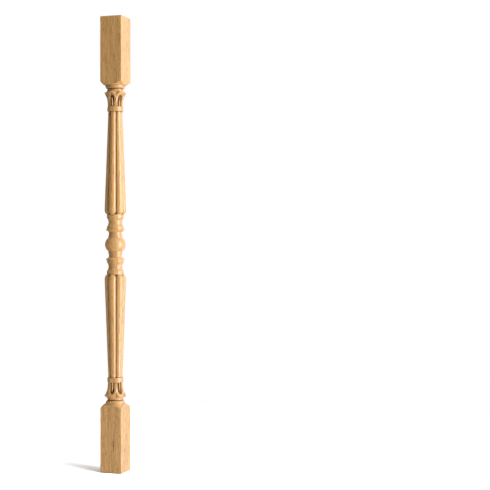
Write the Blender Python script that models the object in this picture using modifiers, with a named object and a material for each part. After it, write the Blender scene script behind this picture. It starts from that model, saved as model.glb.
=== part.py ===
"""A turned and carved oak stair baluster, modelled as one solid.

The order is the turner's and the carver's own. A square blank is turned between its two square
blocks, the shafts are carved into reeds, and the capitals into leaves. The baluster is the same
above and below its middle, so the upper half is worked and then mirrored. Everything is placed
from the middle of the ball, and heights are measured up from there.
"""

import math

import bmesh
import bpy
from mathutils import Matrix

MM = 0.001

# Driving dimensions. The block is one part wide to twenty parts high.
WIDTH = 45 * MM
HEIGHT = 20 * WIDTH
HALF = HEIGHT / 2
ARRIS = 0.6 * MM

# Facets. Those round the turned form are a whole number to a reed, a leaf and a block face.
TURNED_SIDES = 36
BALL_FACETS = 5
COVE_FACETS = 5
NOSE_FACETS = 4
BULGE_FACETS = 3
REEDS = 6
LEAVES = 6

# Forms that are joined run this far into each other, and the half runs past the middle.
JOIN = 0.5 * MM
PAST_MIDDLE = 6 * MM

# Points of one form that meet, and points of the joined forms that all but meet.
MERGE = 0.01 * MM
CLOSEST_POINTS = 0.02 * MM

# The ball, and the ring and neck that hold it.
BALL_SET_OUT = 2.5 * MM
BALL_CURVE = 17.9 * MM
RING_FOOT = 13.7 * MM
RING_TOP = 17.8 * MM
RING_RADIUS = 13.9 * MM
RING_EASING = 0.8 * MM
NECK_RADIUS = 12.8 * MM
NECK_TOP = 24.9 * MM

# The flange, its upper ring, the cove and the big ring that the reeds stand on. The flange's nose
# starts from its upper face at this angle above level.
FLANGE_NOSE = 1.65 * MM
FLANGE_RADIUS = 18.25 * MM
FLANGE_MIDDLE = 29.5 * MM
NOSE_START = 75  # degrees
UPPER_RING_TOP = 34.7 * MM
UPPER_RING_RADIUS = 16.65 * MM
COVE_TOP = 52.4 * MM
COVE_RADIUS = 13.45 * MM
COVE_CURVE = 13.7 * MM
COVE_MIDDLE = 43.8 * MM
BIG_RING_RADIUS = 16.7 * MM
BIG_RING_TOP = 59.4 * MM

# The reeds: tapering fingers with domed ends, round a core that is set back between them.
REED_CREST = 21.3 * MM
REED_CREST_AT_COLLAR = 14.0 * MM
REED_RADIUS_SHARE = 0.4
REED_DOME_CURVE = 10.4 * MM
REED_TIP_SET_IN = 0.25 * MM
REED_FACETS = 8
DOME_FACETS = 4
CORE_AT_RING = 13.6 * MM
CORE_AT_COLLAR = 9.6 * MM

# The capital: collar, bell, and the neck and ovolo under the block.
COLLAR_FOOT = 263.2 * MM
COLLAR_TOP = 272.7 * MM
COLLAR_EDGE_RADIUS = 15.4 * MM
COLLAR_BULGE = 0.5 * MM
BELL_FOOT_RADIUS = 13.2 * MM
BELL_TOP = 302.0 * MM
BELL_TOP_RADIUS = 15.3 * MM
LIP = 306.7 * MM
LIP_RADIUS = 16.0 * MM
GROOVE = 307.5 * MM
GROOVE_RADIUS = 15.0 * MM
OVOLO_FOOT = 308.2 * MM
OVOLO_FOOT_RADIUS = 15.9 * MM
OVOLO_TOP = 314.7 * MM
OVOLO_TOP_RADIUS = 20.3 * MM
OVOLO_BULGE = 0.7 * MM
SHOULDER_FOOT = 315.0 * MM
SHOULDER_FOOT_RADIUS = 21.0 * MM
SHOULDER_CORNER = 322.0 * MM

# One leaf: a round-topped arch that curls out, with a hollow in it and a rib in the hollow.
LEAF_TOP = 302.3 * MM
LEAF_SPRING = 293.5 * MM
LEAF_NOSE = 299.3 * MM
LEAF_FOOT_RADIUS = 15.0 * MM
LEAF_NOSE_RADIUS = 20.6 * MM
LEAF_SPREAD = 1.2 * MM
LEAF_CURL_START = 284.0 * MM
LEAF_CURL_POWER = 2.2
LEAF_NOTCH = 1.0 * MM
HOLLOW_DEPTH = 2.2 * MM
HOLLOW_SPRING = 286.0 * MM
HOLLOW_TOP = 294.8 * MM
HOLLOW_SHARE_AT_TOP = 0.45
RIB_TOP = 288.0 * MM
RIB_DROP = 0.3 * MM
RIB_SHOULDER_DROP = 0.6 * MM
RIB_SHOULDER = math.radians(5.6)
HOLLOW_BED = math.radians(10.8)
HOLLOW_RIM = math.radians(16.2)
MARGIN_CREST = math.radians(23.5)
LEAF_SIDE = math.pi / LEAVES
SIDE_SWEEP_POWER = 3
ROOT_RADIUS = 8.0 * MM

# The lines that run up half a leaf, from the middle of its rib out to its side.
LEAF_LINES = (0.0, RIB_SHOULDER, HOLLOW_BED, HOLLOW_RIM, MARGIN_CREST, LEAF_SIDE)
SHOULDER_LINE, BED_LINE, RIM_LINE, CREST_LINE, SIDE_LINE = range(1, len(LEAF_LINES))

OAK_COLOUR = (0.620, 0.370, 0.165, 1.0)
OAK_ROUGHNESS = 0.42
SHARP_ANGLE = math.radians(30)


def clear_scene():
    """Start from an empty file."""
    for obj in list(bpy.data.objects):
        bpy.data.objects.remove(obj)


def new_collection(name):
    """A collection in the scene."""
    group = bpy.data.collections.new(name)
    bpy.context.scene.collection.children.link(group)
    return group


def oak():
    """Pale oak under a satin clear finish."""
    material = bpy.data.materials.new("clear_finished_oak")
    material.use_nodes = True
    shader = material.node_tree.nodes["Principled BSDF"]
    shader.inputs["Base Color"].default_value = OAK_COLOUR
    shader.inputs["Roughness"].default_value = OAK_ROUGHNESS
    shader.inputs["Metallic"].default_value = 0.0
    return material


def new_object(name, bm, group):
    """A finished bmesh as an object in a collection."""
    mesh = bpy.data.meshes.new(name)
    bm.to_mesh(mesh)
    bm.free()
    obj = bpy.data.objects.new(name, mesh)
    group.objects.link(obj)
    return obj


def arc(centre, radius, start, end, steps):
    """Points (radius from the axis, height) along a circular arc, angles in degrees."""
    points = []
    for step in range(steps + 1):
        angle = math.radians(start + (end - start) * step / steps)
        points.append((centre[0] + radius * math.cos(angle), centre[1] + radius * math.sin(angle)))
    return points


def bulged(start, end, bulge, steps):
    """Points along a shallow curve that stands out from its chord by the bulge."""
    points = []
    for step in range(steps + 1):
        along = step / steps
        stand = bulge * 4 * along * (1 - along)
        reach = start[0] + (end[0] - start[0]) * along
        points.append((reach + stand, start[1] + (end[1] - start[1]) * along))
    return points


def capital_profile():
    """From the top of the block down to the collar's foot."""
    corner = WIDTH / math.sqrt(2)
    slope = (SHOULDER_CORNER - SHOULDER_FOOT) / (corner - SHOULDER_FOOT_RADIUS)
    shoulder_end = (WIDTH, SHOULDER_FOOT + slope * (WIDTH - SHOULDER_FOOT_RADIUS))
    points = [(0, HALF + WIDTH), (WIDTH, HALF + WIDTH), shoulder_end]
    points.append((SHOULDER_FOOT_RADIUS, SHOULDER_FOOT))
    ovolo_top = (OVOLO_TOP_RADIUS, OVOLO_TOP)
    points += bulged(ovolo_top, (OVOLO_FOOT_RADIUS, OVOLO_FOOT), OVOLO_BULGE, BULGE_FACETS)
    points += [(GROOVE_RADIUS, GROOVE), (LIP_RADIUS, LIP)]
    points += [(BELL_TOP_RADIUS, BELL_TOP), (BELL_FOOT_RADIUS, COLLAR_TOP)]
    collar_top = (COLLAR_EDGE_RADIUS, COLLAR_TOP)
    return points + bulged(collar_top, (COLLAR_EDGE_RADIUS, COLLAR_FOOT), COLLAR_BULGE, BULGE_FACETS)


def middle_profile():
    """From the big ring down through the cove and the flange to the ball."""
    points = [(BIG_RING_RADIUS, BIG_RING_TOP), (BIG_RING_RADIUS, COVE_TOP)]
    top = 180 - math.degrees(math.asin((COVE_TOP - COVE_MIDDLE) / COVE_CURVE))
    foot = 180 + math.degrees(math.asin((COVE_MIDDLE - UPPER_RING_TOP) / COVE_CURVE))
    points += arc((COVE_RADIUS + COVE_CURVE, COVE_MIDDLE), COVE_CURVE, top, foot, COVE_FACETS)

    nose = (FLANGE_RADIUS - FLANGE_NOSE, FLANGE_MIDDLE)
    out, up = nose[0] - NECK_RADIUS, nose[1] - NECK_TOP
    tangent = math.atan2(up, out) - math.asin(FLANGE_NOSE / math.hypot(out, up)) - math.pi / 2
    points += [(UPPER_RING_RADIUS, FLANGE_MIDDLE + FLANGE_NOSE)]
    points += arc(nose, FLANGE_NOSE, NOSE_START, math.degrees(tangent), NOSE_FACETS)

    points += [(NECK_RADIUS, NECK_TOP), (NECK_RADIUS, RING_TOP)]
    points += [(RING_RADIUS - RING_EASING, RING_TOP), (RING_RADIUS, RING_TOP - RING_EASING)]
    points += [(RING_RADIUS, RING_FOOT)]
    ball_top = math.degrees(math.asin(RING_FOOT / BALL_CURVE))
    points += arc((BALL_SET_OUT, 0), BALL_CURVE, ball_top, 0, BALL_FACETS)
    return points + [(BALL_SET_OUT + BALL_CURVE, -PAST_MIDDLE), (0, -PAST_MIDDLE)]


def turned(name, profile, group):
    """A profile, drawn from the top down at +X, spun into a closed solid by a Screw."""
    bm = bmesh.new()
    verts = [bm.verts.new((radius, 0, height)) for radius, height in profile]
    for upper, lower in zip(verts, verts[1:]):
        bm.edges.new((upper, lower))
    obj = new_object(name, bm, group)
    screw = obj.modifiers.new("turning", 'SCREW')
    screw.steps = TURNED_SIDES
    screw.render_steps = TURNED_SIDES
    screw.use_merge_vertices = True
    screw.merge_threshold = MERGE
    screw.use_smooth_shade = False
    obj.rotation_euler.z = math.pi / TURNED_SIDES
    return obj


def square_blank(group):
    """The upper half of the square blank, eased along its edges and a little over-long below."""
    below = PAST_MIDDLE / 2
    place = Matrix.Translation((0, 0, (HALF - below) / 2))
    size = Matrix.Diagonal((WIDTH, WIDTH, HALF + below, 1))
    bm = bmesh.new()
    bmesh.ops.create_cube(bm, size=1, matrix=place @ size)
    eased = [edge for edge in bm.edges if max(vert.co.z for vert in edge.verts) > 0]
    bmesh.ops.bevel(bm, geom=eased, offset=ARRIS, segments=1, affect='EDGES', profile=0.5)
    obj = new_object("baluster", bm, group)
    obj.location.z = HALF
    return obj


def lofted(name, columns, rings, point, group):
    """A closed solid drawn up from ring to ring; point gives each one's angle, radius, height."""
    bm = bmesh.new()
    column = bm.verts.layers.int.new("column")
    first = bmesh.ops.create_circle(bm, segments=columns, radius=1)["verts"]
    for index, vert in enumerate(first):
        vert[column] = index
    edges = list(bm.edges)
    end_loops = [edges]
    verts = first
    for ring in range(rings):
        if ring:
            drawn = bmesh.ops.extrude_edge_only(bm, edges=edges)["geom"]
            verts = [item for item in drawn if isinstance(item, bmesh.types.BMVert)]
            fresh = set(verts)
            edges = [item for item in drawn if isinstance(item, bmesh.types.BMEdge)]
            edges = [edge for edge in edges if fresh.issuperset(edge.verts)]
        for vert in verts:
            angle, radius, height = point(vert[column], ring)
            vert.co = (radius * math.cos(angle), radius * math.sin(angle), height)
    end_loops.append(edges)
    for loop in end_loops:
        bmesh.ops.contextual_create(bm, geom=loop)
    bmesh.ops.remove_doubles(bm, verts=bm.verts, dist=MERGE)
    bmesh.ops.recalc_face_normals(bm, faces=bm.faces)
    return new_object(name, bm, group)


def reed_sections():
    """Height, axis distance and radius of one reed, from inside the ring up into the collar."""
    widest = REED_CREST * REED_RADIUS_SHARE
    foot_axis = REED_CREST - widest
    tip = BIG_RING_RADIUS - REED_TIP_SET_IN - foot_axis
    inset = REED_DOME_CURVE - widest
    rise = math.sqrt(REED_DOME_CURVE**2 - (tip + inset) ** 2)
    start = -math.degrees(math.asin((rise + JOIN) / REED_DOME_CURVE))
    sections = []
    for radius, height in arc((-inset, BIG_RING_TOP + rise), REED_DOME_CURVE, start, 0, DOME_FACETS):
        sections.append((height, foot_axis, radius))
    shrink = REED_CREST_AT_COLLAR / REED_CREST
    sections.append((COLLAR_FOOT + JOIN, foot_axis * shrink, widest * shrink))
    return sections


def reed_point(index, ring, sections):
    """A point round the joined outline of the reeds at one height."""
    height, axis, radius = sections[ring]
    reed, step = divmod(index, REED_FACETS + 1)
    half_pitch = math.pi / REEDS
    waist = CORE_AT_COLLAR - JOIN if ring == len(sections) - 1 else CORE_AT_RING - JOIN
    meet = (waist**2 + axis**2 - radius**2) / (2 * waist * axis)
    side = min(half_pitch, math.acos(max(-1, min(1, meet))))
    if radius > axis * math.sin(half_pitch):
        side = half_pitch
    reach = axis * math.cos(side) + math.sqrt(radius**2 - (axis * math.sin(side)) ** 2)
    swing = math.atan2(reach * math.sin(side), reach * math.cos(side) - axis)
    turn = swing * (2 * step / REED_FACETS - 1)
    out, across = axis + radius * math.cos(turn), radius * math.sin(turn)
    angle = math.radians(-90) + 2 * half_pitch * reed + math.atan2(across, out)
    return angle, math.hypot(out, across), height


def reeded_shaft(group):
    """All the reeds of one shaft."""
    sections = reed_sections()
    columns = REEDS * (REED_FACETS + 1)
    return lofted("reeded_shaft", columns, len(sections),
                  lambda index, ring: reed_point(index, ring, sections), group)


def leaf_face_radius(height):
    """How far the uncarved leaf stands out: nearly straight, then curling out to its nose."""
    if height >= LEAF_NOSE:
        over = (height - LEAF_NOSE) / (LEAF_TOP - LEAF_NOSE)
        return LEAF_NOSE_RADIUS + (BELL_TOP_RADIUS - JOIN - LEAF_NOSE_RADIUS) * over
    climb = (height - COLLAR_TOP) / (LEAF_NOSE - COLLAR_TOP)
    curl = max(0, (height - LEAF_CURL_START) / (LEAF_NOSE - LEAF_CURL_START))
    reach = LEAF_NOSE_RADIUS - LEAF_FOOT_RADIUS - LEAF_SPREAD
    return LEAF_FOOT_RADIUS + LEAF_SPREAD * climb + reach * curl**LEAF_CURL_POWER


def carving_depth(line, height):
    """How deep the leaf is cut on one of its lines at a height."""
    if line == SIDE_LINE:
        return LEAF_NOTCH
    if height >= HOLLOW_TOP or line >= RIM_LINE:
        return 0.0
    if line == BED_LINE or height > RIB_TOP:
        return HOLLOW_DEPTH
    return RIB_SHOULDER_DROP if line == SHOULDER_LINE else RIB_DROP


def leaf_point(index, ring, heights):
    """A point on the carved leaves; the last ring is their root inside the bell."""
    leaf, step = divmod(index, 2 * SIDE_LINE)
    offset = step - SIDE_LINE
    line = abs(offset)
    nominal = heights[min(ring, len(heights) - 1)]
    angle = LEAF_LINES[line]
    if nominal > HOLLOW_TOP:
        angle = LEAF_SIDE * math.sin(math.pi / 2 * line / SIDE_LINE)
    elif line < CREST_LINE:
        over = (nominal - HOLLOW_SPRING) / (HOLLOW_TOP - HOLLOW_SPRING)
        angle *= max(HOLLOW_SHARE_AT_TOP, math.sqrt(1 - max(0, over) ** 2))
    turn = math.radians(-90) + 2 * LEAF_SIDE * leaf + math.copysign(angle, offset)
    if ring == len(heights):
        return turn, ROOT_RADIUS, LEAF_TOP
    across = angle / LEAF_SIDE
    top = LEAF_SPRING + (LEAF_TOP - LEAF_SPRING) * math.sqrt(max(0, 1 - across**2))
    along = (nominal - heights[0]) / (LEAF_TOP - heights[0])
    radius = leaf_face_radius(nominal)
    radius -= max(0, radius - BELL_TOP_RADIUS) * across**SIDE_SWEEP_POWER
    return turn, radius - carving_depth(line, nominal), heights[0] + (top - heights[0]) * along


def leaf_crown(group):
    """All the leaves of one capital, each in line with a reed."""
    foot = COLLAR_TOP - JOIN
    heights = [foot, (foot + RIB_TOP) / 2, RIB_TOP, (RIB_TOP + HOLLOW_TOP) / 2]
    heights += [HOLLOW_TOP, LEAF_NOSE, LEAF_TOP]
    columns = LEAVES * 2 * SIDE_LINE
    return lofted("leaf_crown", columns, len(heights) + 1,
                  lambda index, ring: leaf_point(index, ring, heights), group)


def boolean(obj, name, operation, operand):
    """Cut or join with a form, which stays in the file as a wire guide."""
    modifier = obj.modifiers.new(name, 'BOOLEAN')
    modifier.operation = operation
    modifier.solver = 'EXACT'
    modifier.object = operand
    operand.parent = obj
    operand.hide_render = True
    operand.display_type = 'WIRE'


def finish(obj):
    """Keep the worked solid, smooth where it is round and crisp where it is cut."""
    depsgraph = bpy.context.evaluated_depsgraph_get()
    mesh = bpy.data.meshes.new_from_object(obj.evaluated_get(depsgraph))
    bm = bmesh.new()
    bm.from_mesh(mesh)
    bmesh.ops.remove_doubles(bm, verts=bm.verts, dist=CLOSEST_POINTS)
    bmesh.ops.dissolve_degenerate(bm, edges=bm.edges, dist=CLOSEST_POINTS)
    bm.to_mesh(mesh)
    bm.free()
    obj.modifiers.clear()
    obj.data = mesh
    mesh.shade_smooth()
    mesh.set_sharp_from_angle(angle=SHARP_ANGLE)
    mesh.materials.clear()
    mesh.materials.append(oak())


def build():
    clear_scene()
    parts = new_collection("wooden_baluster")
    forms = new_collection("turning_and_carving_forms")
    baluster = square_blank(parts)
    core = [(CORE_AT_COLLAR, COLLAR_FOOT), (CORE_AT_RING, BIG_RING_TOP)]
    profile = capital_profile() + core + middle_profile()
    boolean(baluster, "turn_the_blank", 'INTERSECT', turned("turned_form", profile, forms))
    boolean(baluster, "carve_the_reeds", 'UNION', reeded_shaft(forms))
    boolean(baluster, "carve_the_leaves", 'UNION', leaf_crown(forms))
    mirror = baluster.modifiers.new("lower_half", 'MIRROR')
    mirror.use_axis = (False, False, True)
    mirror.use_bisect_axis = (False, False, True)
    mirror.merge_threshold = MERGE
    finish(baluster)


build()
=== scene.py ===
import math

import bmesh
import bpy
from mathutils import Matrix, Vector


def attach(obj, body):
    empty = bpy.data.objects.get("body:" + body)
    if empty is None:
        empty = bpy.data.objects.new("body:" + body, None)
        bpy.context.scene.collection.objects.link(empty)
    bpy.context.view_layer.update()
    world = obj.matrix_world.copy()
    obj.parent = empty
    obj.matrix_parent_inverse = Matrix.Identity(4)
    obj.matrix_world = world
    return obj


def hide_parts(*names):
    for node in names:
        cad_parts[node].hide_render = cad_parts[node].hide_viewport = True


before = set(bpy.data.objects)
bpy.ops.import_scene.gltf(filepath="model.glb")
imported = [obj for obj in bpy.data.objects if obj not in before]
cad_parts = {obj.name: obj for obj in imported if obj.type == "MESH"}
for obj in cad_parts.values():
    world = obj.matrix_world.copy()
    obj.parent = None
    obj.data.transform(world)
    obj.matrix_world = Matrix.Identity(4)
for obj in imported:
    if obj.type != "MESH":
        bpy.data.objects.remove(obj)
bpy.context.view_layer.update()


# The blank. The baluster is worked from one square length of pale oak, 45 mm by 45 mm by 900 mm,
# and nothing is joined to it. Its upper half is drawn here in millimetres from the middle of the
# ball, ring by ring from the top down, and the lower half is the same turned over.
BLANK = 45.0
HALF_LENGTH = 450.0
FRONT = math.radians(-90)
REEDS = 6
COLUMNS = 240
REED_COLUMNS = COLUMNS // REEDS

oak_form = bmesh.new()
column_of = oak_form.verts.layers.int.new("column")
outline_of = oak_form.verts.layers.float.new("outline")
# How much painted shade darkens each point, from 0 to 1.
painted_shade_of = oak_form.verts.layers.float.new("painted_shade")


def column_angle(column):
    """The direction of a column of points, counted from beside the reed on the front face."""
    return FRONT - math.pi / REEDS + 2 * math.pi * column / COLUMNS


def work_down(rim, rings, place):
    """Draw the open rim on from ring to ring.

    place gives each point's angle, radius and height, and after them how much painted shade darkens
    it, from 0 to 1, where any does. A ring keeps its widest radius, for the grain to follow.
    """
    for ring in rings:
        drawn = bmesh.ops.extrude_edge_only(oak_form, edges=rim)["geom"]
        fresh = {item for item in drawn if isinstance(item, bmesh.types.BMVert)}
        rim = [item for item in drawn if isinstance(item, bmesh.types.BMEdge)]
        rim = [edge for edge in rim if fresh.issuperset(edge.verts)]
        for vert in fresh:
            angle, radius, height, *painted_shade = place(vert[column_of], ring)
            vert.co = (radius * math.cos(angle), radius * math.sin(angle), height)
            vert[painted_shade_of] = sum(painted_shade)
        widest = max(vert.co.xy.length for vert in fresh)
        for vert in fresh:
            vert[outline_of] = min(widest, BLANK / 2)
    return rim


# The square end. It is left as planed, 128 mm long at the corners, and its arrises are eased to
# 0.6 mm with a pass of sandpaper, so that they catch the light. The lathe cuts it off in a
# straight slope from the neck out to the corners.
ARRIS = 0.6
ARRIS_STEPS = 3
SIDE_COLUMNS = COLUMNS // 4
FIRST_CORNER = 50
NECK_EDGE = 21.0
SHOULDER_FOOT = 315.0
SHOULDER_RISE = 7.0


def shoulder(radius):
    """The height of the turned shoulder at a distance from the middle."""
    return SHOULDER_FOOT + SHOULDER_RISE * (radius - NECK_EDGE) / (BLANK / math.sqrt(2) - NECK_EDGE)


def block_point(column, inset, height=None):
    """A point round the block, set in from its faces; without a height it is on the shoulder."""
    corner = round((column - FIRST_CORNER) / SIDE_COLUMNS)
    step = column - FIRST_CORNER - SIDE_COLUMNS * corner
    flat = BLANK / 2 - ARRIS
    ease = ARRIS - inset
    if abs(step) <= ARRIS_STEPS:
        turn = math.radians(45) * (1 + step / ARRIS_STEPS)
        along, across = flat + ease * math.cos(turn), flat + ease * math.sin(turn)
    else:
        left = (SIDE_COLUMNS / 2 - abs(step)) / (SIDE_COLUMNS / 2 - ARRIS_STEPS)
        along, across = flat * left, flat + ease
        if step < 0:
            along, across = across, along
    angle = column_angle(FIRST_CORNER + SIDE_COLUMNS * corner) - math.radians(45)
    radius = math.hypot(along, across)
    return angle + math.atan2(across, along), radius, shoulder(radius) if height is None else height


top_face = bmesh.ops.create_circle(oak_form, cap_ends=True, segments=COLUMNS, radius=BLANK / 2)
for column, vert in enumerate(top_face["verts"]):
    vert[column_of] = column
    vert[outline_of] = BLANK / 2
    angle, radius, height = block_point(column, ARRIS, HALF_LENGTH)
    vert.co = (radius * math.cos(angle), radius * math.sin(angle), height)
rim = oak_form.edges[:]

rounding = [math.radians(22.5) * step for step in range(1, 5)]
top_arris = [(ARRIS * (1 - math.sin(turn)), HALF_LENGTH - ARRIS * (1 - math.cos(turn)))
             for turn in rounding]
faces_below = [(0.0, HALF_LENGTH - 2 * ARRIS), (0.0, HALF_LENGTH - 3 * ARRIS)]
rim = work_down(rim, top_arris + faces_below, lambda column, ring: block_point(column, *ring))


# The shoulder and neck. The sloping shoulder leaves a low arch on each flat face of the block.
# Below it the lathe has cut a fine quirk, a rounded ovolo and a groove above the bell.
SHOULDER_EASING = 0.25
GROOVE_PAINTED_SHADE = 0.65


def lifted_shoulder(column, lift):
    """A point on the block's face, just above the shoulder."""
    angle, radius, height = block_point(column, 0.0)
    return angle, radius, height + lift


def shoulder_point(column, inward):
    """A point on the shoulder, part of the way in from the block's outline to the quirk."""
    angle, radius, _ = block_point(column, SHOULDER_EASING)
    swing = (column_angle(column) - angle + math.pi) % (2 * math.pi) - math.pi
    radius += (NECK_EDGE - radius) * inward
    return angle + swing * inward, radius, shoulder(radius)


rim = work_down(rim, [SHOULDER_EASING], lifted_shoulder)
rim = work_down(rim, [SHOULDER_EASING], lambda column, inset: block_point(column, inset))
rim = work_down(rim, [0.3, 0.6, 0.85, 1.0], shoulder_point)


def turned(column, ring):
    """A point on a plain turned surface; ring is its radius and height, and its painted shade if
    any.
    """
    return column_angle(column), *ring


def eased(*corners):
    """A turned profile through corners of (radius, height, rounding), each rounded by its own."""
    points = [Vector(corner[:2]) for corner in corners]
    profile = [points[0]]
    for before, corner, after, given in zip(points, points[1:], points[2:], corners[1:]):
        if not given[2]:
            profile.append(corner)
            continue
        start = corner + (before - corner).normalized() * given[2]
        end = corner + (after - corner).normalized() * given[2]
        for part in (0, 1 / 3, 2 / 3, 1):
            profile.append(start.lerp(corner, part).lerp(corner.lerp(end, part), part))
    return [tuple(point) for point in profile + points[-1:]]


quirk = eased((NECK_EDGE, SHOULDER_FOOT, 0), (20.9, 314.85, 0), (18.9, 314.8, 0.1),
              (18.9, 314.4, 0.1), (19.35, 314.3, 0))
ovolo_turns = [math.radians(7.8) * step for step in range(11)]
ovolo = [(16.0 + 3.5 * math.cos(turn), 313.7 - 5.5 * math.sin(turn)) for turn in ovolo_turns]
groove = eased((16.0, 308.1, 0), (14.6, 307.9, 0.25), (14.6, 306.8, 0.25), (15.9, 306.6, 0))
# The groove above the bell is painted in shade.
shaded_groove = [(radius, height, GROOVE_PAINTED_SHADE) for radius, height in groove]
rim = work_down(rim, quirk[1:] + ovolo + shaded_groove, turned)


# The leaves. Six broad leaves stand round the bell, one above each reed. Each is carved as a
# round-topped arch that curls out to a nose, with a gouged hollow in it and a rib that rises in
# the hollow to a point. Sides are counted in degrees off the leaf's middle.
BELL_FOOT_RADIUS = 13.2
BELL_RADIUS = 15.9
BELL_TOP = 302.0
LIP = 306.3
LIP_FLARE = 0.4
LEAF_FOOT = 272.7
LEAF_OPENS = 290.0
LEAF_SPRING = 294.5
LEAF_NOSE = 300.0
LEAF_TOP = 304.0
LEAF_SIDE = 30.0
LEAF_FOOT_RADIUS = 14.4
LEAF_LEAN = 1.9
CURL_START = 281.0
LEAF_CURL = 5.4
NOSE_RADIUS = 21.8
NOSE_RETURN = 6.3
NOSE_EASING = 2.0
CUT_BACK = 0.15
CUT_BACK_AT_NOSE = 0.5
HOLLOW_SIDE = 18.5
HOLLOW_SPRING = 286.5
HOLLOW_RISE = 9.8
HOLLOW_WALL = 0.25
HOLLOW_DEPTH = 3.4
RIB_SIDE = 8.5
RIB_LENGTH = 20.0
RIB_HEIGHT = 3.6
RIB_SINKS = 5.0
SLIMMEST_RIB = 2.0


def middle_of(leaf):
    """The direction of a leaf's middle, which is also that of the reed below it."""
    return FRONT + 2 * math.pi * leaf / REEDS


def bell(height):
    """The radius of the bell behind the leaves, which opens to a lip under the groove."""
    if height > BELL_TOP:
        return BELL_RADIUS + LIP_FLARE * ((height - BELL_TOP) / (LIP - BELL_TOP)) ** 2
    rise = (height - LEAF_FOOT) / (BELL_TOP - LEAF_FOOT)
    return BELL_FOOT_RADIUS + (BELL_RADIUS - BELL_FOOT_RADIUS) * rise


def smooth_step(value, start, end):
    """From 0 at the start to 1 at the end, level at both."""
    part = min(1.0, max(0.0, (value - start) / (end - start)))
    return part * part * (3 - 2 * part)


def rib_side(height):
    """Degrees from the middle of the leaf to the edge of its rib, which narrows to a point."""
    return RIB_SIDE * (1 - min(1.0, (height - LEAF_FOOT) / RIB_LENGTH) ** 3)


def leaf_place(column):
    """The leaf's own direction, and the column's part of the way from its middle to its side."""
    leaf, step = divmod(column, REED_COLUMNS)
    return middle_of(leaf), step / (REED_COLUMNS / 2) - 1


def leaf_off(across, height):
    """Degrees off the leaf's middle, with its columns laid along the carved edges."""
    rib_edge = max(SLIMMEST_RIB, rib_side(height))
    marks = [(0.0, 0.0), (0.3, rib_edge), (0.6, HOLLOW_SIDE), (1.0, LEAF_SIDE)]
    for (near, low), (far, high) in zip(marks, marks[1:]):
        if near <= abs(across) <= far:
            carved = low + (high - low) * (abs(across) - near) / (far - near)
    rounded = LEAF_SIDE * math.sin(abs(across) * math.pi / 2)
    off = carved + (rounded - carved) * smooth_step(height, LEAF_OPENS, LEAF_NOSE)
    return math.copysign(off, across)


def leaf_edge(off):
    """The height of the leaf's round top, that many degrees off its middle."""
    return LEAF_SPRING + (LEAF_TOP - LEAF_SPRING) * math.sqrt(max(0.0, 1 - (off / LEAF_SIDE) ** 2))


def bell_point(column, part):
    """A point on the bell, part of the way from its lip down to the leaf in front of it."""
    middle, across = leaf_place(column)
    off = LEAF_SIDE * across * (1 - part) + leaf_off(across, LEAF_TOP) * part
    height = LIP + (leaf_edge(off) - LIP) * part
    return middle + math.radians(off), bell(height), height


def leaf_face(level):
    """The radius of the leaf before carving: it stands nearly straight, then curls to its nose."""
    lean = LEAF_LEAN * (level - LEAF_FOOT) / (LEAF_NOSE - LEAF_FOOT)
    curl = max(0.0, level - CURL_START) / (LEAF_NOSE - CURL_START)
    below = LEAF_FOOT_RADIUS + lean + LEAF_CURL * curl ** 2
    above = NOSE_RADIUS - NOSE_RETURN * (level - LEAF_NOSE) / (LEAF_TOP - LEAF_NOSE)
    blend = min(1.0, max(0.0, 0.5 + (above - below) / NOSE_EASING))
    return above + (below - above) * blend - NOSE_EASING / 2 * blend * (1 - blend)


def inside_arch(off, height, side, spring, rise):
    """How far inside an arch a point is: 1 on its middle line, 0 on its outline."""
    return 1 - math.hypot(off / side, max(0.0, height - spring) / rise)


def leaf_point(column, level):
    """A point on the carved leaf; level is the height at which it would be on the middle line."""
    middle, across = leaf_place(column)
    off = leaf_off(across, level)
    part = (level - LEAF_FOOT) / (LEAF_TOP - LEAF_FOOT)
    height = LEAF_FOOT + (leaf_edge(off) - LEAF_FOOT) * part
    radius = leaf_face(level)
    cut_back = CUT_BACK + CUT_BACK_AT_NOSE * smooth_step(level, LEAF_OPENS, LEAF_NOSE)
    radius -= max(0.0, radius - bell(LEAF_TOP)) * abs(off / LEAF_SIDE) ** 3 * cut_back

    inside = inside_arch(off, height, HOLLOW_SIDE, HOLLOW_SPRING, HOLLOW_RISE)
    hollow = smooth_step(inside, 0.0, HOLLOW_WALL)
    radius -= HOLLOW_DEPTH * hollow
    # The hollow is painted in shade, and the rib is left light except at its foot.
    painted_shade = hollow
    side = rib_side(height)
    if abs(off) < side:
        rib = smooth_step(side, 0.0, RIB_SINKS) * math.sqrt(1 - (off / side) ** 2)
        radius += RIB_HEIGHT * rib
        painted_shade *= abs(off / side) ** 6
    return middle + math.radians(off), radius, height, painted_shade


rim = work_down(rim, [0.0, 0.1, 0.3, 0.65, 1.0], bell_point)
curled_end = [LEAF_TOP - 0.35 * step for step in range(1, 14)]
arched_part = [curled_end[-1] - 0.5 * step for step in range(1, 25)]
straight_part = [arched_part[-1] - 2.0 * step for step in range(1, 8)]
rim = work_down(rim, curled_end + arched_part + straight_part, leaf_point)


# The collar. A plain turned band with a slight belly parts the leaves from the reeds. The
# carver's gouge stops against it, in a fine quirk above and a straight ledge below.
LEAF_QUIRK = 0.3


def quirk_point(column, level):
    """A point in the quirk where the leaves stop against the collar."""
    angle, radius, *_ = leaf_point(column, level)
    # The quirk is painted in full shade.
    return angle, radius - LEAF_QUIRK, level, 1.0


def bellied(start, end, belly, steps):
    """Points of a turned curve that stands out from the straight line between two points."""
    profile = []
    for step in range(steps + 1):
        part = step / steps
        out = start[0] + (end[0] - start[0]) * part + belly * 4 * part * (1 - part)
        profile.append((out, start[1] + (end[1] - start[1]) * part))
    return profile


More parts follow.
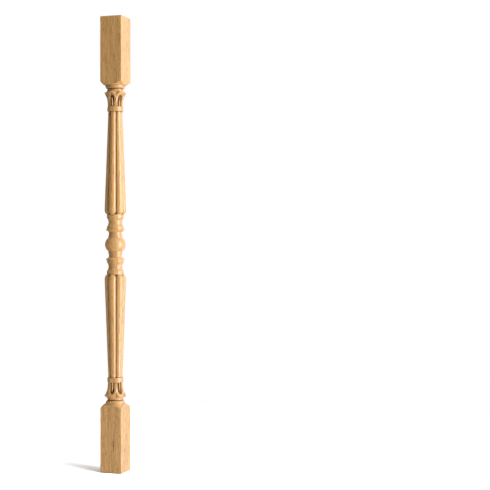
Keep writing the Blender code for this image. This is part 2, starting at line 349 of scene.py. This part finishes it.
rim = work_down(rim, [LEAF_FOOT + 0.1], quirk_point)
upper_ledge = [(14.95, LEAF_FOOT), (15.2, 272.6)]
collar = bellied((15.4, 272.3), (15.4, 263.6), 0.5, 6)
lower_ledge = [(15.2, 263.3), (14.9, 263.2)]
rim = work_down(rim, upper_ledge + collar + lower_ledge, turned)


# The reeds. Six round reeds taper along the shaft, worked with a moulding cutter and cleaned up
# by hand. Each ends above the middle in a full dome, and the core shows only between the domes.
# A fine quirk, 1.6 mm deep, is scored down each crease between them.
CREASE = math.pi / REEDS
CREST = 21.3
TIP_CREST = 14.0
ROUND_SHARE = 0.4
REED_TIP = 262.4
TIP_STEPS = [263.1, 262.5]
TIP_QUIRK = 0.8
CORE = 12.8
CORE_TOP = 100.0
RING_TOP = 59.4
DOME_FOOT = 16.45
DOME_CURVE = 10.4
DOME_STEPS = 13
SHAFT_STEPS = 6
ROUND_COLUMNS = 16
QUIRK_SIDE = 0.28
QUIRK_DEPTH = 1.6
FLANK_PAINTED_SHADE = 0.6


def reed_point(column, ring):
    """A point on the reeds where each is a circle; ring is height, distance out and radius."""
    height, out, radius = ring
    reed, step = divmod(column, REED_COLUMNS)
    step -= REED_COLUMNS // 2
    middle = middle_of(reed)
    side, reach = CREASE, 0.0
    if radius > out * math.sin(CREASE):
        reach = out * math.cos(CREASE) + math.sqrt(radius ** 2 - (out * math.sin(CREASE)) ** 2)
    if reach < CORE and height < CORE_TOP:
        side = math.acos((CORE ** 2 + out ** 2 - radius ** 2) / (2 * CORE * out))
        reach = CORE
    side = min(side, CREASE - QUIRK_SIDE / reach)

    part = abs(step) / ROUND_COLUMNS
    gap = (abs(step) - ROUND_COLUMNS) / (REED_COLUMNS / 2 - ROUND_COLUMNS)
    # Points in the crease quirk are painted in full shade.
    if part > 1:
        reach = max(CORE if height < CORE_TOP else 0.0, reach - QUIRK_DEPTH * math.sqrt(gap))
        return middle + math.copysign(side + (CREASE - side) * gap, step), reach, height, 1.0
    swing = math.atan2(reach * math.sin(side), reach * math.cos(side) - out)
    turn = math.copysign(swing * part, step)
    across, forward = radius * math.sin(turn), out + radius * math.cos(turn)
    # The flanks darken towards the crease with painted shade.
    painted_shade = FLANK_PAINTED_SHADE * smooth_step(part, 0.7, 1.0)
    return middle + math.atan2(across, forward), math.hypot(across, forward), height, painted_shade


def quirk_under_collar(column, ring):
    """A point in the quirk where the reeds stop against the collar."""
    angle, radius, height, _ = reed_point(column, ring)
    # The quirk under the collar is painted in full shade.
    return angle, radius - TIP_QUIRK, height, 1.0


reed_out, reed_radius = (1 - ROUND_SHARE) * CREST, ROUND_SHARE * CREST
tip = (reed_out * TIP_CREST / CREST, reed_radius * TIP_CREST / CREST)
rim = work_down(rim, [(height, *tip) for height in TIP_STEPS], quirk_under_collar)

dome_turn = math.acos((DOME_FOOT - reed_out + DOME_CURVE - reed_radius) / DOME_CURVE)
dome_height = RING_TOP + DOME_CURVE * math.sin(dome_turn)
shaft = [(REED_TIP, *tip)]
for step in range(1, SHAFT_STEPS + 1):
    part = step / SHAFT_STEPS
    crest = (TIP_CREST + (CREST - TIP_CREST) * part) / CREST
    height = REED_TIP + (dome_height - REED_TIP) * part
    shaft.append((height, reed_out * crest, reed_radius * crest))
dome = []
for step in range(1, DOME_STEPS + 1):
    turn = dome_turn * step / DOME_STEPS
    radius = reed_radius - DOME_CURVE * (1 - math.cos(turn))
    dome.append((dome_height - DOME_CURVE * math.sin(turn), reed_out, radius))
rim = work_down(rim, shaft + dome, reed_point)


# The turned middle. Below the reeds come a flat ring, a deep cove, a second ring that stands on a
# rounded flange, a neck and a small ring, and then the ball. All of it is plain lathe work, sharp
# from the chisel and only just softened by sanding.
def swept(centre, radius, start, end, steps):
    """Points of a turned profile along an arc, its angles in degrees above level."""
    profile = []
    for step in range(steps + 1):
        turn = math.radians(start + (end - start) * step / steps)
        profile.append((centre[0] + radius * math.cos(turn), centre[1] + radius * math.sin(turn)))
    return profile


ring = eased((16.5, RING_TOP, 0), (16.7, RING_TOP, 0.15), (16.7, 52.4, 0.15), (16.5, 52.4, 0))
cove = swept((27.15, 43.8), 13.7, 141.0, 220.0, 14)
second_ring = eased((*cove[-1], 0), (16.65, 34.8, 0.15), (16.65, 31.3, 0), (16.4, 31.1, 0))
flange = swept((16.6, 29.5), 1.65, 78.0, -49.0, 10)
neck = eased((*flange[-1], 0), (12.8, 24.9, 0.15), (12.8, 18.0, 0.1), (13.9, 18.0, 0.6),
             (13.9, 13.35, 0.1), (14.15, 13.2, 0))
ball = swept((2.9, 0.0), 17.45, 48.9, 0.0, 15)
rim = work_down(rim, ring + cove + second_ring[1:] + flange + neck[1:] + ball, turned)


# The whole baluster. The upper half is turned over for the lower one, and the two are one piece of
# wood. The foot's arris is painted dark as a contact shadow, and the piece is set in the frame, in
# metres.
FOOT_PAINTED_SHADOW = 0.9
SHARPEST_ROUNDED = math.radians(44)

bmesh.ops.mirror(oak_form, geom=oak_form.verts[:] + oak_form.edges[:] + oak_form.faces[:],
                 matrix=Matrix.Identity(4), merge_dist=0.002, axis='Z')
bmesh.ops.remove_doubles(oak_form, verts=oak_form.verts, dist=0.003)
bmesh.ops.dissolve_degenerate(oak_form, edges=oak_form.edges, dist=0.001)
bmesh.ops.recalc_face_normals(oak_form, faces=oak_form.faces)
# The foot's arris is painted in shadow where it meets the floor.
for vert in oak_form.verts:
    if -HALF_LENGTH < vert.co.z < 1.5 * ARRIS - HALF_LENGTH:
        vert[painted_shade_of] = FOOT_PAINTED_SHADOW
to_frame = Matrix.Translation((0, 0, HALF_LENGTH / 1000)) @ Matrix.Scale(0.001, 4)
bmesh.ops.transform(oak_form, matrix=to_frame, verts=oak_form.verts)

oak_mesh = bpy.data.meshes.new("oak_baluster")
oak_form.to_mesh(oak_mesh)
oak_form.free()
oak_mesh.shade_smooth()
oak_mesh.set_sharp_from_angle(angle=SHARPEST_ROUNDED)
oak_baluster = bpy.data.objects.new("oak_baluster", oak_mesh)
bpy.context.scene.collection.objects.link(oak_baluster)
level_flats = oak_baluster.modifiers.new("level_flats", 'WEIGHTED_NORMAL')
level_flats.keep_sharp = True
level_flats.weight = 100


# The finish. Pale European oak, turned and sanded, with a clear satin lacquer. The eye sees a
# honey ground in soft bands, long fine brown lines of pores, finer fibre between them, and the
# lacquer's sheen over it all. Creases, quirks and hollows are painted dark brown as painted shade.
RING_WIDTH = 0.0017
PITH = 0.120
FOLLOWED = 0.8
GRAIN_RADIUS = 20.5
LINES_ROUND = 72
LINE_SHIFT = 6.0
PORE_SINK = 0.00004


def linear(code):
    """A linear colour from an sRGB hex value."""
    parts = [int(code[place:place + 2], 16) / 255 for place in (1, 3, 5)]
    return [part / 12.92 if part < 0.04045 else ((part + 0.055) / 1.055) ** 2.4
            for part in parts] + [1.0]


def add(tree, kind, inputs=None, **settings):
    """A node with its settings, and each input either given a value or linked to a socket."""
    made = tree.nodes.new(kind)
    for name, value in settings.items():
        setattr(made, name, value)
    for socket, value in (inputs or {}).items():
        if isinstance(value, bpy.types.NodeSocket):
            tree.links.new(value, made.inputs[socket])
        else:
            made.inputs[socket].default_value = value
    return made


oak = bpy.data.materials.new("satin_lacquered_oak")
oak.use_nodes = True
grain = oak.node_tree
grain.nodes.remove(grain.nodes["Principled BSDF"])

# The grain follows the turned outline four fifths of the way and is cut by it for the rest, so
# its figure stays long and narrow, as on wood that was bent to the outline.
coordinates = add(grain, "ShaderNodeTexCoord").outputs
place = coordinates["Object"]
outline = add(grain, "ShaderNodeAttribute", attribute_name="outline").outputs["Fac"]
opened = add(grain, "ShaderNodeMath", {0: FOLLOWED * GRAIN_RADIUS, 1: outline},
             operation='DIVIDE').outputs[0]
widened = add(grain, "ShaderNodeMath", {0: opened, 1: 1 - FOLLOWED}).outputs[0]
spread = add(grain, "ShaderNodeCombineXYZ", {0: widened, 1: widened, 2: 1.0}).outputs[0]
followed = add(grain, "ShaderNodeVectorMath", {0: place, 1: spread},
               operation='MULTIPLY').outputs[0]

# The tree's middle lay 120 mm from the baluster's, away from the corner between the front and
# right faces. So X runs out across the growth rings, Y along them, and Z up the length.
board = add(grain, "ShaderNodeMapping", {
    "Vector": followed, "Location": (PITH, 0, 0), "Rotation": (0, 0, math.radians(45))}).outputs[0]

# The fibres wander to each side by about a millimetre, in waves some 35 mm long.
wander_place = add(grain, "ShaderNodeMapping", {"Vector": board, "Scale": (60, 60, 28)}).outputs[0]
wander = add(grain, "ShaderNodeTexNoise", {
    "Vector": wander_place, "Scale": 1.0, "Detail": 3.0, "Roughness": 0.55}).outputs["Color"]
centred = add(grain, "ShaderNodeVectorMath", {0: wander, 1: (0.5, 0.5, 0.5)},
              operation='SUBTRACT').outputs[0]
wavy = add(grain, "ShaderNodeVectorMath", {0: centred, 1: (0.0045, 0.0035, 0.0), 2: board},
           operation='MULTIPLY_ADD').outputs[0]
flat_board = add(grain, "ShaderNodeVectorMath", {0: wavy, 1: (1, 1, 0)},
                 operation='MULTIPLY').outputs[0]
from_pith = add(grain, "ShaderNodeVectorMath", {0: flat_board},
                operation='LENGTH').outputs["Value"]
rings = add(grain, "ShaderNodeMath", {0: from_pith, 1: RING_WIDTH}, operation='DIVIDE').outputs[0]
in_ring = add(grain, "ShaderNodeMath", {0: rings}, operation='FRACT').outputs[0]

# Each growth ring, 1.7 mm wide, starts with open early wood and closes in dense late wood.
early_wood = add(grain, "ShaderNodeMapRange", {
    "Value": in_ring, "From Min": 0.55, "From Max": 0.1},
    interpolation_type='SMOOTHSTEP').outputs[0]

# Good and poor years vary the ground every two or three rings.
years = add(grain, "ShaderNodeTexNoise", {"W": rings, "Scale": 0.42, "Detail": 2.0},
            noise_dimensions='1D').outputs[0]

# Bands of tone run along the length, about 2.5 mm wide and 150 mm long.
band_place = add(grain, "ShaderNodeMapping", {"Vector": wavy, "Scale": (420, 420, 7)}).outputs[0]
bands = add(grain, "ShaderNodeTexNoise", {
    "Vector": band_place, "Scale": 1.0, "Detail": 3.0}).outputs[0]

# Rows of pores show as long fine lines, on the reeds 0.4 mm wide and 1.5 mm apart. They are
# numbered round the baluster, and shift by a line or so over some 70 mm of length, which makes
# them wave, part and meet.
separated = add(grain, "ShaderNodeSeparateXYZ", {0: place}).outputs
around = add(grain, "ShaderNodeMath", {0: separated["Y"], 1: separated["X"]},
             operation='ARCTAN2').outputs[0]
numbered = add(grain, "ShaderNodeMath", {0: around, 1: LINES_ROUND / (2 * math.pi)},
               operation='MULTIPLY').outputs[0]
shift_place = add(grain, "ShaderNodeMapping", {"Vector": wavy, "Scale": (230, 230, 15)}).outputs[0]
shift = add(grain, "ShaderNodeTexNoise", {
    "Vector": shift_place, "Scale": 1.0, "Detail": 3.0, "Roughness": 0.42}).outputs[0]
shifted = add(grain, "ShaderNodeMath", {0: shift, 1: LINE_SHIFT, 2: numbered},
              operation='MULTIPLY_ADD').outputs[0]
between = add(grain, "ShaderNodeMath", {0: shifted}, operation='FRACT').outputs[0]
from_line = add(grain, "ShaderNodeMath", {0: between, 1: 0.5}, operation='SUBTRACT').outputs[0]
off_line = add(grain, "ShaderNodeMath", {0: from_line}, operation='ABSOLUTE').outputs[0]
lines = add(grain, "ShaderNodeMapRange", {
    "Value": off_line, "From Min": 0.14, "From Max": 0.03}).outputs[0]

# The lines fade in and out every 40 mm or so.
fade_place = add(grain, "ShaderNodeMapping", {"Vector": wavy, "Scale": (450, 450, 26)}).outputs[0]
fade = add(grain, "ShaderNodeTexNoise", {
    "Vector": fade_place, "Scale": 1.0, "Detail": 2.0}).outputs[0]
shown = add(grain, "ShaderNodeMapRange", {
    "Value": fade, "From Min": 0.36, "From Max": 0.62, "To Min": 0.3}).outputs[0]
pore_lines = add(grain, "ShaderNodeMath", {0: lines, 1: shown}, operation='MULTIPLY').outputs[0]

# Between them the wood is combed with finer fibre. It is drawn 0.5 mm wide and 25 mm long, much
# coarser than it is, so that it shows, and it ripples by a fifth of a millimetre.
ripple_place = add(grain, "ShaderNodeMapping", {"Vector": wavy, "Scale": (170, 170, 60)}).outputs[0]
ripple = add(grain, "ShaderNodeTexNoise", {
    "Vector": ripple_place, "Scale": 1.0, "Detail": 2.0}).outputs["Color"]
ripple_off = add(grain, "ShaderNodeVectorMath", {0: ripple, 1: (0.5, 0.5, 0.5)},
                 operation='SUBTRACT').outputs[0]
rippled = add(grain, "ShaderNodeVectorMath", {0: ripple_off, 1: (0.0009, 0.0009, 0.0), 2: wavy},
              operation='MULTIPLY_ADD').outputs[0]
fibre_place = add(grain, "ShaderNodeMapping", {
    "Vector": rippled, "Scale": (1900, 1900, 40)}).outputs[0]
fibre = add(grain, "ShaderNodeTexNoise", {
    "Vector": fibre_place, "Scale": 1.0, "Detail": 2.0}).outputs[0]

# Single large pores are dark ticks, 0.3 mm wide and up to 10 mm long, and mostly in early wood.
pore_place = add(grain, "ShaderNodeMapping", {
    "Vector": wavy, "Scale": (1700, 1700, 60)}).outputs[0]
pore_noise = add(grain, "ShaderNodeTexNoise", {
    "Vector": pore_place, "Scale": 1.0, "Detail": 1.0, "Roughness": 0.4}).outputs[0]
pore_room = add(grain, "ShaderNodeMath", {0: early_wood, 1: -0.1, 2: 0.74},
                operation='MULTIPLY_ADD').outputs[0]
pore_depth = add(grain, "ShaderNodeMath", {0: pore_noise, 1: pore_room},
                 operation='SUBTRACT').outputs[0]
pores = add(grain, "ShaderNodeMapRange", {
    "Value": pore_depth, "From Min": 0.0, "From Max": 0.07},
    interpolation_type='SMOOTHSTEP').outputs[0]

# On end grain, where the surface cuts across the fibres, the fibre goes, the lines are faint and
# the growth rings stand out.
facing = add(grain, "ShaderNodeSeparateXYZ", {0: coordinates["Normal"]}).outputs["Z"]
upright = add(grain, "ShaderNodeMath", {0: facing}, operation='ABSOLUTE').outputs[0]
long_grain = add(grain, "ShaderNodeMapRange", {
    "Value": upright, "From Min": 0.85, "From Max": 0.6},
    interpolation_type='SMOOTHSTEP').outputs[0]
early_depth = add(grain, "ShaderNodeMapRange", {
    "Value": long_grain, "To Min": 0.7, "To Max": 0.25}).outputs[0]
line_depth = add(grain, "ShaderNodeMapRange", {
    "Value": long_grain, "To Min": 0.3, "To Max": 0.95}).outputs[0]

# The colours go on in this order, each over the last: ground, bands, early wood, fibre, lines,
# single pores and painted shade.
ground = add(grain, "ShaderNodeMix", {
    0: years, 6: linear("#F5C178"), 7: linear("#F5CE8B")}, data_type='RGBA').outputs[2]
band_share = add(grain, "ShaderNodeMapRange", {
    "Value": bands, "From Min": 0.38, "From Max": 0.66, "To Max": 0.6}).outputs[0]
banded = add(grain, "ShaderNodeMix", {
    0: band_share, 6: ground, 7: linear("#CC8F52")}, data_type='RGBA').outputs[2]
early_share = add(grain, "ShaderNodeMath", {0: early_wood, 1: early_depth},
                  operation='MULTIPLY').outputs[0]
ringed = add(grain, "ShaderNodeMix", {
    0: early_share, 6: banded, 7: linear("#D69A58")}, data_type='RGBA').outputs[2]
fibre_share = add(grain, "ShaderNodeMapRange", {
    "Value": fibre, "From Min": 0.42, "From Max": 0.66, "To Max": 0.6}).outputs[0]
fibre_shown = add(grain, "ShaderNodeMath", {0: fibre_share, 1: long_grain},
                  operation='MULTIPLY').outputs[0]
combed = add(grain, "ShaderNodeMix", {
    0: fibre_shown, 6: ringed, 7: linear("#C48446")}, data_type='RGBA').outputs[2]
line_share = add(grain, "ShaderNodeMath", {0: pore_lines, 1: line_depth},
                 operation='MULTIPLY').outputs[0]
lined = add(grain, "ShaderNodeMix", {
    0: line_share, 6: combed, 7: linear("#985822")}, data_type='RGBA').outputs[2]
pore_share = add(grain, "ShaderNodeMath", {0: pores, 1: 0.35}, operation='MULTIPLY').outputs[0]
pored = add(grain, "ShaderNodeMix", {
    0: pore_share, 6: lined, 7: linear("#7E4C24")}, data_type='RGBA').outputs[2]
# Painted shade: dark brown laid where shade falls, in the creases, quirks, hollows and at the foot.
painted_shade_share = add(grain, "ShaderNodeAttribute", attribute_name="painted_shade").outputs["Fac"]
oak_colour = add(grain, "ShaderNodeMix", {
    0: painted_shade_share, 6: pored, 7: linear("#602D02")}, data_type='RGBA').outputs[2]

# The lacquer bridges the fine wood but sinks a little into the pores.
open_grain = add(grain, "ShaderNodeMath", {0: pore_lines, 1: pores}, operation='MAXIMUM').outputs[0]
sunk = add(grain, "ShaderNodeMath", {0: open_grain, 1: -1.0}, operation='MULTIPLY').outputs[0]
relief = add(grain, "ShaderNodeBump", {
    "Height": sunk, "Strength": 0.5, "Distance": PORE_SINK}).outputs[0]
under_lacquer = add(grain, "ShaderNodeMath", {0: open_grain, 1: 0.12, 2: 0.4},
                    operation='MULTIPLY_ADD').outputs[0]
lacquered = add(grain, "ShaderNodeBsdfPrincipled", {
    "Base Color": oak_colour, "Roughness": under_lacquer, "IOR": 1.5, "Normal": relief,
    "Specular IOR Level": 0.5, "Coat Weight": 1.0, "Coat Roughness": 0.2, "Coat IOR": 1.5})
grain.links.new(lacquered.outputs[0], grain.nodes["Material Output"].inputs["Surface"])
oak_mesh.materials.append(oak)

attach(oak_baluster, "root")
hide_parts("baluster")


# The paper. The baluster stands on a sheet of matt white paper. The camera sees the sheet a
# little overexposed, with light coming through it, so that only the shadow shows on the white,
# and the baluster sees it as plain white paper.
PAPER_WHITE = 0.855
OVEREXPOSED = 0.6
LIGHT_THROUGH = 0.17

floor_form = bmesh.new()
bmesh.ops.create_grid(floor_form, x_segments=1, y_segments=1, size=1.0)
floor_mesh = bpy.data.meshes.new("studio_floor")
floor_form.to_mesh(floor_mesh)
floor_form.free()
floor = bpy.data.objects.new("studio_floor", floor_mesh)
bpy.context.scene.collection.objects.link(floor)

paper = bpy.data.materials.new("matt_white_paper")
paper.use_nodes = True
sheet = paper.node_tree
sheet.nodes.remove(sheet.nodes["Principled BSDF"])
to_camera = add(sheet, "ShaderNodeLightPath").outputs["Is Camera Ray"]
whiteness = add(sheet, "ShaderNodeMath", {0: to_camera, 1: OVEREXPOSED, 2: PAPER_WHITE},
                operation='MULTIPLY_ADD').outputs[0]
light_through = add(sheet, "ShaderNodeMath", {0: to_camera, 1: LIGHT_THROUGH},
                    operation='MULTIPLY').outputs[0]
matt = add(sheet, "ShaderNodeBsdfPrincipled", {
    "Base Color": whiteness, "Roughness": 0.9,
    "Emission Color": linear("#FFFFFF"), "Emission Strength": light_through})
sheet.links.new(matt.outputs[0], sheet.nodes["Material Output"].inputs["Surface"])
floor_mesh.materials.append(paper)
floor.visible_glossy = False


# The studio. White air brightens behind the baluster, a tall soft box stands beyond the right of
# the view, three soft boxes hang above, and a small one lights the paper and throws the shadow.
# Directions are counted in degrees from the camera round to its right, and up from level.
VIEW = 25.35
MIDDLE = Vector((0, 0, HALF_LENGTH / 1000))

scene = bpy.context.scene
scene.view_settings.view_transform = 'Standard'


def towards(azimuth, elevation):
    """The direction that many degrees round to the right of the camera, and above level."""
    turn, rise = math.radians(VIEW + azimuth), math.radians(elevation)
    return Vector((math.sin(turn) * math.cos(rise), -math.cos(turn) * math.cos(rise),
                   math.sin(rise)))


# The baluster feels bright air behind it and to the right, and dim air elsewhere. The camera sees
# it all as white.
air = bpy.data.worlds.new("white_air")
air.use_nodes = True
scene.world = air
sky = air.node_tree
sky.nodes.clear()
outward = add(sky, "ShaderNodeTexCoord").outputs["Generated"]
behind = add(sky, "ShaderNodeVectorMath", {0: outward, 1: towards(130, 15)},
             operation='DOT_PRODUCT').outputs["Value"]
glow = add(sky, "ShaderNodeMapRange", {
    "Value": behind, "From Min": 0.2, "From Max": 0.9, "To Min": 0.08, "To Max": 0.88},
    interpolation_type='SMOOTHSTEP').outputs[0]
felt = add(sky, "ShaderNodeBackground", {"Color": linear("#FFFFFF"), "Strength": glow}).outputs[0]
seen = add(sky, "ShaderNodeBackground", {"Color": linear("#FFFFFF"), "Strength": 1.0}).outputs[0]
looked_at = add(sky, "ShaderNodeLightPath").outputs["Is Camera Ray"]
mixed = add(sky, "ShaderNodeMixShader", {0: looked_at, 1: felt, 2: seen}).outputs[0]
add(sky, "ShaderNodeOutputWorld", {"Surface": mixed})


def soft_light(name, azimuth, elevation, distance, size, brightness):
    """A soft box that faces the baluster's middle; its brightness is that of its cloth."""
    lamp = bpy.data.lights.new(name, 'AREA')
    lamp.shape = 'RECTANGLE'
    lamp.size, lamp.size_y = size
    lamp.energy = brightness * math.pi * size[0] * size[1]
    light = bpy.data.objects.new(name, lamp)
    aim = towards(azimuth, elevation)
    light.location = MIDDLE + aim * distance
    light.rotation_euler = aim.to_track_quat('Z', 'Y').to_euler()
    scene.collection.objects.link(light)
    return light


# The sheen light is a taller cloth behind the tall one, which only shows in the lacquer.
soft_light("tall_light", 58, 0, 4.2, (3.1, 4.3), 4.0)
soft_light("sheen_light", 58, 0, 4.3, (3.1, 16.0), 1.4).visible_diffuse = False

# The three above are kept off the paper, and the paper's own light off the baluster, so that one
# crisp shadow falls.
baluster_only = bpy.data.collections.new("baluster_only")
baluster_only.objects.link(oak_baluster)
floor_only = bpy.data.collections.new("floor_only")
floor_only.objects.link(floor)
for light, lit in (
        (soft_light("high_light", 50, 46, 3.5, (2.4, 2.4), 1.35), baluster_only),
        (soft_light("top_light", -5, 62, 2.1, (1.6, 1.0), 2.6), baluster_only),
        (soft_light("overhead_light", 0, 90, 2.2, (2.4, 2.4), 0.65), baluster_only),
        (soft_light("floor_light", 44, 25, 4.0, (2.0, 1.4), 35.5), floor_only)):
    light.visible_glossy = False
    light.light_linking.receiver_collection = lit

# The camera stands 2.4 m away, level with the ball, and looks past the baluster's right.
camera = bpy.data.objects.new("camera", bpy.data.cameras.new("camera"))
camera.data.lens = 86.96
camera.location = (1.0108, -2.1337, 0.449)
camera.rotation_euler = (math.radians(90), 0, math.radians(19.1))
scene.collection.objects.link(camera)
scene.camera = camera
